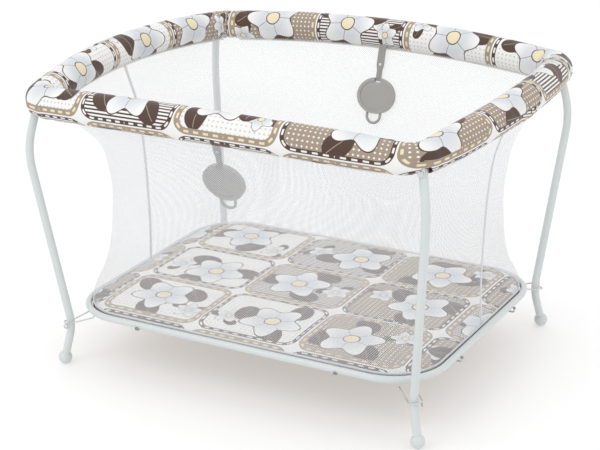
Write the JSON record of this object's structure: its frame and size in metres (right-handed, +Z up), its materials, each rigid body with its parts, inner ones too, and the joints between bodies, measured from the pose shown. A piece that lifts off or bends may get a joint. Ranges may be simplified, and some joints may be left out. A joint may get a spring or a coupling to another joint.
{
  "type": "playpen",
  "caption": "Folding playpen: padded oval-cornered top rim on bent tube legs with ball feet, net walls, sliding floor frame with mat, corner wire latches and pull-up grips.",
  "frame": {"origin": "on the ground at the centre of the four feet", "axes": "+Z up, +X along the long sides, -Y is the front long side"},
  "size_m": [1.0596, 0.9014, 0.6783],
  "materials": {
    "painted_tube": "satin powder coat, very light cool grey",
    "bare_steel": "zinc plated",
    "wire": "zinc plated wire",
    "foam": "closed cell foam",
    "printed_fabric": "printed woven polyester",
    "net": "white knitted net",
    "board": "hardboard",
    "white_plastic": "moulded, slightly glossy",
    "grey_plastic": "moulded, satin",
    "webbing": "woven polypropylene webbing",
    "black_plastic": "vinyl dipped"
  },
  "bodies": {
    "rim": {"top_frame_tube": "painted_tube", "rim_foam": "foam", "rim_cover": "printed_fabric", "leg_pivot_pins": "bare_steel", "net_wall_front": "net", "net_wall_back": "net", "leg_bracket_front_left": "bare_steel", "leg_bracket_front_right": "bare_steel", "leg_bracket_back_left": "bare_steel", "leg_bracket_back_right": "bare_steel"},
    "leg_front_left": {"leg_front_left": "painted_tube", "foot_front_left": "white_plastic"},
    "leg_front_right": {"leg_front_right": "painted_tube", "foot_front_right": "white_plastic"},
    "leg_back_left": {"leg_back_left": "painted_tube", "foot_back_left": "white_plastic"},
    "leg_back_right": {"leg_back_right": "painted_tube", "foot_back_right": "white_plastic"},
    "floor": {"floor_frame": "painted_tube", "floor_board": "board", "floor_mat": "printed_fabric", "cross_wire_left": "wire", "cross_wire_right": "wire", "long_wire_front": "wire", "long_wire_back": "wire", "wire_end_caps": "black_plastic"},
    "hook_front_left": {"latch_hook_front_left": "wire"},
    "bar_front_left": {"latch_bar_front_left": "wire"},
    "hook_front_right": {"latch_hook_front_right": "wire"},
    "bar_front_right": {"latch_bar_front_right": "wire"},
    "hook_back_left": {"latch_hook_back_left": "wire"},
    "bar_back_left": {"latch_bar_back_left": "wire"},
    "hook_back_right": {"latch_hook_back_right": "wire"},
    "bar_back_right": {"latch_bar_back_right": "wire"},
    "grip_front": {"pull_strap_front": "webbing", "pull_grip_front": "grey_plastic", "strap_rivet_front": "bare_steel"},
    "grip_back": {"pull_strap_back": "webbing", "pull_grip_back": "grey_plastic", "strap_rivet_back": "bare_steel"}
  },
  "joints": [
    {"name": "leg_fold_front_left", "type": "hinge", "parent": "rim", "child": "leg_front_left", "pos_m": [-0.455, -0.3695, 0.603], "axis": [-0.1219, -0.9925, 0], "range_deg": [0, 80]},
    {"name": "leg_fold_front_right", "type": "hinge", "parent": "rim", "child": "leg_front_right", "pos_m": [0.455, -0.3695, 0.603], "axis": [-0.1219, 0.9925, 0], "range_deg": [0, 70]},
    {"name": "leg_fold_back_left", "type": "hinge", "parent": "rim", "child": "leg_back_left", "pos_m": [-0.455, 0.3695, 0.603], "axis": [0.1219, -0.9925, 0], "range_deg": [0, 80]},
    {"name": "leg_fold_back_right", "type": "hinge", "parent": "rim", "child": "leg_back_right", "pos_m": [0.455, 0.3695, 0.603], "axis": [0.1219, 0.9925, 0], "range_deg": [0, 70]},
    {"name": "floor_lift", "type": "slide", "parent": "rim", "child": "floor", "axis": [0, 0, 1], "range_m": [0, 0.285], "deforming": ["net_wall_front", "net_wall_back"]},
    {"name": "hook_swing_front_left", "type": "hinge", "parent": "floor", "child": "hook_front_left", "pos_m": [-0.37959, -0.30949, 0.1179], "axis": [0, 0, 1], "range_deg": [0, 60], "deforming": ["latch_hook_front_left"]},
    {"name": "bar_swing_front_left", "type": "hinge", "parent": "floor", "child": "bar_front_left", "pos_m": [-0.40976, -0.28383, 0.1179], "axis": [0, 0, -1], "range_deg": [0, 60], "deforming": ["latch_bar_front_left"]},
    {"name": "hook_swing_front_right", "type": "hinge", "parent": "floor", "child": "hook_front_right", "pos_m": [0.40976, -0.28383, 0.1179], "axis": [0, 0, 1], "range_deg": [0, 60], "deforming": ["latch_hook_front_right"]},
    {"name": "bar_swing_front_right", "type": "hinge", "parent": "floor", "child": "bar_front_right", "pos_m": [0.37959, -0.30949, 0.1179], "axis": [0, 0, -1], "range_deg": [0, 60], "deforming": ["latch_bar_front_right"]},
    {"name": "hook_swing_back_left", "type": "hinge", "parent": "floor", "child": "hook_back_left", "pos_m": [-0.40976, 0.28383, 0.1179], "axis": [0, 0, 1], "range_deg": [0, 60], "deforming": ["latch_hook_back_left"]},
    {"name": "bar_swing_back_left", "type": "hinge", "parent": "floor", "child": "bar_back_left", "pos_m": [-0.37959, 0.30949, 0.1179], "axis": [0, 0, -1], "range_deg": [0, 60], "deforming": ["latch_bar_back_left"]},
    {"name": "hook_swing_back_right", "type": "hinge", "parent": "floor", "child": "hook_back_right", "pos_m": [0.37959, 0.30949, 0.1179], "axis": [0, 0, 1], "range_deg": [0, 60], "deforming": ["latch_hook_back_right"]},
    {"name": "bar_swing_back_right", "type": "hinge", "parent": "floor", "child": "bar_back_right", "pos_m": [0.40976, 0.28383, 0.1179], "axis": [0, 0, -1], "range_deg": [0, 60], "deforming": ["latch_bar_back_right"]},
    {"name": "grip_swing_front", "type": "hinge", "parent": "rim", "child": "grip_front", "pos_m": [0, -0.386, 0.619], "axis": [1, 0, 0], "range_deg": [0, 70], "deforming": ["pull_strap_front"]},
    {"name": "grip_swing_back", "type": "hinge", "parent": "rim", "child": "grip_back", "pos_m": [0, 0.386, 0.619], "axis": [-1, 0, 0], "range_deg": [0, 70], "deforming": ["pull_strap_back"]}
  ]
}
